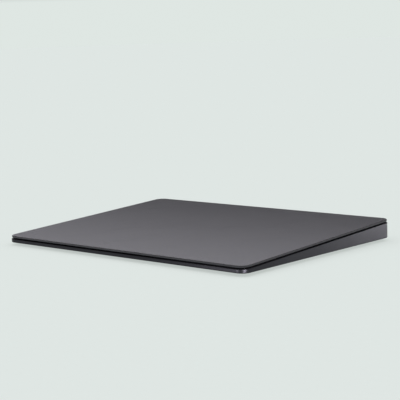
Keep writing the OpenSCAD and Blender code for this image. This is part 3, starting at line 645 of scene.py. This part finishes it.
def bending_copy(name, node, start, end, cuts=()):
    """A copy of a solid, cut into short lengths from start to end so that it can bend there. Each cut
    takes away what lies past a point in a direction."""
    source = frame["nodes"][node]
    bm = bmesh.new()
    bm.from_mesh(source.data)
    bmesh.ops.remove_doubles(bm, verts=bm.verts, dist=SAME_POINT)
    bmesh.ops.dissolve_degenerate(bm, edges=bm.edges, dist=SLIVER)
    bmesh.ops.dissolve_limit(bm, verts=bm.verts, edges=bm.edges, angle_limit=FLAT_ANGLE)
    for point, direction in cuts:
        geometry = bm.verts[:] + bm.edges[:] + bm.faces[:]
        made = bmesh.ops.bisect_plane(bm, geom=geometry, plane_co=point, plane_no=direction,
                                      clear_outer=True)
        rim = [part for part in made["geom_cut"] if isinstance(part, bmesh.types.BMEdge)]
        bmesh.ops.holes_fill(bm, edges=rim)
    way = (end - start).normalized()
    for i in range(1, int((end - start).length / BEND_STEP)):
        point = start + way * BEND_STEP * i
        geometry = bm.verts[:] + bm.edges[:] + bm.faces[:]
        bmesh.ops.bisect_plane(bm, geom=geometry, plane_co=point, plane_no=way, dist=SAME_POINT)
    mesh = bpy.data.meshes.new(name)
    bm.to_mesh(mesh)
    bm.free()
    piece = new_piece(name, mesh, source.data.materials[0].name)
    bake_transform(piece)
    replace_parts(piece, node)


def bending_corner(corner):
    """A flexure and its gauge are copied in short lengths along the beam, from the screwed end to the tip
    plate.
    """
    side = 1 if corner.endswith("right") else -1
    depth = 1 if corner.startswith("rear") else -1
    low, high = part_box("flexure_" + corner)
    tip_low, tip_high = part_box("tip_plate_" + corner)
    middle = (low + high) / 2
    fixed = Vector((middle.x + side * (high.x - low.x) * BEAM_ROOT, middle.y, middle.z))
    tip = Vector((tip_high.x if side > 0 else tip_low.x, middle.y, middle.z))
    other_corners = ((Vector(), Vector((-side, 0, 0))), (Vector(), Vector((0, -depth, 0))))
    bending_copy(f"flexure_{corner}_bending", "flexure_" + corner, fixed, tip)
    bending_copy(f"strain_gauge_{corner}_bending", "strain_gauges", fixed, tip, other_corners)


def bending_ribbon():
    """The touch ribbon runs forward from its socket to the plug under the touch plate. It is copied as a
    rear half, meant for the press, and a front half, meant for the shift, each in short lengths."""
    forward = Vector((0.0, -1.0, 0.0))
    socket_end = reach("touch_socket", forward)[1]
    plug_end = reach("touch_plug", forward)[0]
    middle = (socket_end + plug_end) / 2
    bending_copy("touch_ribbon_rear", "touch_ribbon", socket_end, middle,
                 [(middle, forward)])
    bending_copy("touch_ribbon_front", "touch_ribbon", middle, plug_end,
                 [(middle, -forward)])


def suspension():
    for corner in ("front_left", "front_right", "rear_left", "rear_right"):
        bending_corner(corner)
        gel_pad(corner)
    bending_ribbon()


# Stage, light and camera

FLOOR_RADIUS = 60.0
FLOOR_SIDES = 96
FLOOR_COLOUR = (0.86, 0.91, 0.885)
BACKGROUND = (0.76, 0.82, 0.79)
GLOW_SHARE = 0.65
HORIZON = shade(BACKGROUND, 0.97)
HIGH_SKY = (1.0, 1.0, 1.02)
GREY_SKY = (0.42, 0.42, 0.43)
DARK_SKY = (0.03, 0.03, 0.03)
# Heights in the sky, as sines of the elevation, at which the horizon band ends, the low sky begins and
# ends, and the high sky begins
HORIZON_END = 0.036
LOW_SKY = (0.055, 0.45)
HIGH_SKY_START = 0.65
# Middle of the dark sector, and how far from it the dark ends and the grey begins, in degrees
DARK_AZIMUTH = 223
DARK_EDGE = (24, 38)


def around(azimuth, elevation, distance):
    """A place round the pad. Azimuth 0 is in front of it, and 90 to its right."""
    a, e = math.radians(azimuth), math.radians(elevation)
    return Vector((math.sin(a) * math.cos(e), -math.cos(a) * math.cos(e), math.sin(e))) * distance


def make_floor():
    """A wide pale disc under the feet, shown from above only. Most of what is seen of it is the plain
    background, so that the shadow stays light."""
    bm = bmesh.new()
    bmesh.ops.create_circle(bm, cap_ends=True, segments=FLOOR_SIDES, radius=FLOOR_RADIUS)
    mesh = bpy.data.meshes.new("floor")
    bm.to_mesh(mesh)
    bm.free()
    floor = bpy.data.objects.new("floor", mesh)
    bpy.context.scene.collection.objects.link(floor)
    floor.location.z = CAD_BOX[0].z
    s = Surface("pale_floor", {"Specular IOR Level": 0.0, "Roughness": 1.0})
    grain = s.noise(3 * MM, detail=3.0)
    s.colour(s.ramp(grain, (0.2, shade(FLOOR_COLOUR, 0.985)), (0.8, shade(FLOOR_COLOUR, 1.015))))
    ray = s.node("ShaderNodeLightPath").outputs
    seen = s.math("MAXIMUM", ray["Is Camera Ray"], ray["Is Glossy Ray"])
    seen = s.math("MAXIMUM", seen, ray["Is Transmission Ray"])
    glow = s.node("ShaderNodeEmission", {"Color": (*BACKGROUND, 1.0)}).outputs["Emission"]
    lit = s.node("ShaderNodeMixShader", {
        0: s.math("MULTIPLY", seen, GLOW_SHARE), 1: s.shader.outputs["BSDF"], 2: glow}).outputs["Shader"]
    below = s.node("ShaderNodeNewGeometry").outputs["Backfacing"]
    clear = s.node("ShaderNodeBsdfTransparent").outputs["BSDF"]
    one_sided = s.node("ShaderNodeMixShader", {0: below, 1: lit, 2: clear}).outputs["Shader"]
    s.tree.links.new(one_sided, s.output.inputs["Surface"])
    mesh.materials.append(s.material)


def make_world():
    """Soft light from above, a grey sky below it, dark in the sector that the top mirrors to the camera,
    and a pale band where the floor ends."""
    world = bpy.data.worlds.new("studio")
    bpy.context.scene.world = world
    world.use_nodes = True
    w = Nodes(world.node_tree)
    direction = w.node("ShaderNodeTexCoord").outputs["Generated"]
    height = w.node("ShaderNodeSeparateXYZ", {"Vector": direction}).outputs["Z"]
    grey, dark = [w.ramp(height, (0.0, HORIZON), (HORIZON_END, HORIZON), (LOW_SKY[0], colour),
                         (LOW_SKY[1], colour), (HIGH_SKY_START, HIGH_SKY))
                  for colour in (GREY_SKY, DARK_SKY)]
    middle = around(DARK_AZIMUTH, 0, 1.0)
    toward = w.node("ShaderNodeVectorMath", {0: direction, 1: middle}, operation="DOT_PRODUCT")
    dark_end, grey_start = (math.cos(math.radians(angle)) for angle in DARK_EDGE)
    sector = w.spread(toward.outputs["Value"], 0.0, 1.0, grey_start, dark_end)
    light = w.node("ShaderNodeBackground", {"Color": w.layer(grey, dark, sector)})
    w.node("ShaderNodeOutputWorld", {"Surface": light.outputs["Background"]})


def panel(name, place, target, width, height, radiance, colour=(1.0, 1.0, 1.0), only=None, spread=180):
    """A soft panel of light that faces a point. It may light one collection only, and a spread under
    180 degrees narrows its beam. A lamp's power is shared over four times its area."""
    data = bpy.data.lights.new(name, "AREA")
    data.shape = "RECTANGLE"
    data.size = width
    data.size_y = height
    data.spread = math.radians(spread)
    half = data.spread / 2
    data.energy = 4 * width * height * radiance * (1 - half / math.tan(half))
    data.color = colour
    lamp = bpy.data.objects.new(name, data)
    bpy.context.scene.collection.objects.link(lamp)
    lamp.location = place
    lamp.rotation_euler = (target - place).to_track_quat("-Z", "Y").to_euler()
    lamp.visible_camera = False
    lamp.light_linking.receiver_collection = only


def light_group(name, pieces):
    """A collection that the light of a panel can be kept to."""
    group = bpy.data.collections.new(name)
    for piece in pieces:
        group.objects.link(piece)
    return group


def make_lights():
    """A strip behind the pad for its top, and small narrow panels that model the walls of the case alone:
    the rear end of its right wall, and the front right corner from both sides."""
    meshes = [o for o in bpy.context.scene.objects if o.type == "MESH"]
    pad = light_group("pad_only", [o for o in meshes if o.name != "floor"])
    case = light_group("case_only", [frame["nodes"]["lower_case"]])
    panel("back_strip", Vector((-370, 247, 170)) * MM, Vector((-330, 0, 6)) * MM, width=660 * MM,
          height=60 * MM, radiance=1.8, colour=(0.94, 0.92, 1.0), only=pad)
    side = Vector((80, 50, 5)) * MM
    panel("side_panel", side + around(150, 5.7, 250 * MM), side, width=30 * MM, height=60 * MM,
          radiance=175.0, only=case, spread=20)
    corner = Vector((80, -57, 4)) * MM
    panel("corner_panel", corner + around(60, 2.5, 200 * MM), corner, width=80 * MM, height=15 * MM,
          radiance=350.0, only=case, spread=26)
    panel("lip_panel", corner + around(-24, 2.5, 200 * MM), corner, width=56 * MM, height=16 * MM,
          radiance=125.0, only=case, spread=26)


def make_camera():
    roll = math.radians(CAMERA_ROLL)
    back = around(CAMERA_AZIMUTH, CAMERA_ELEVATION, 1.0)
    level = Vector((0.0, 0.0, 1.0)).cross(back).normalized()
    upright = back.cross(level)
    right = level * math.cos(roll) + upright * math.sin(roll)
    up = upright * math.cos(roll) - level * math.sin(roll)
    data = bpy.data.cameras.new("camera")
    data.sensor_width = SENSOR_WIDTH
    data.lens = SENSOR_WIDTH * FOCAL_PIXELS / IMAGE_PIXELS
    data.clip_start = NEAREST_SEEN
    data.clip_end = 2 * FLOOR_RADIUS
    camera = bpy.data.objects.new("camera", data)
    bpy.context.scene.collection.objects.link(camera)
    turn = Matrix((right, up, back)).transposed().to_4x4()
    camera.matrix_world = Matrix.Translation(CAMERA_PLACE) @ turn
    bpy.context.scene.camera = camera


make_materials()
wound_coils()
pouch_cell()
suspension()
make_floor()
make_world()
make_lights()
make_camera()
bpy.context.scene.view_settings.view_transform = "Standard"
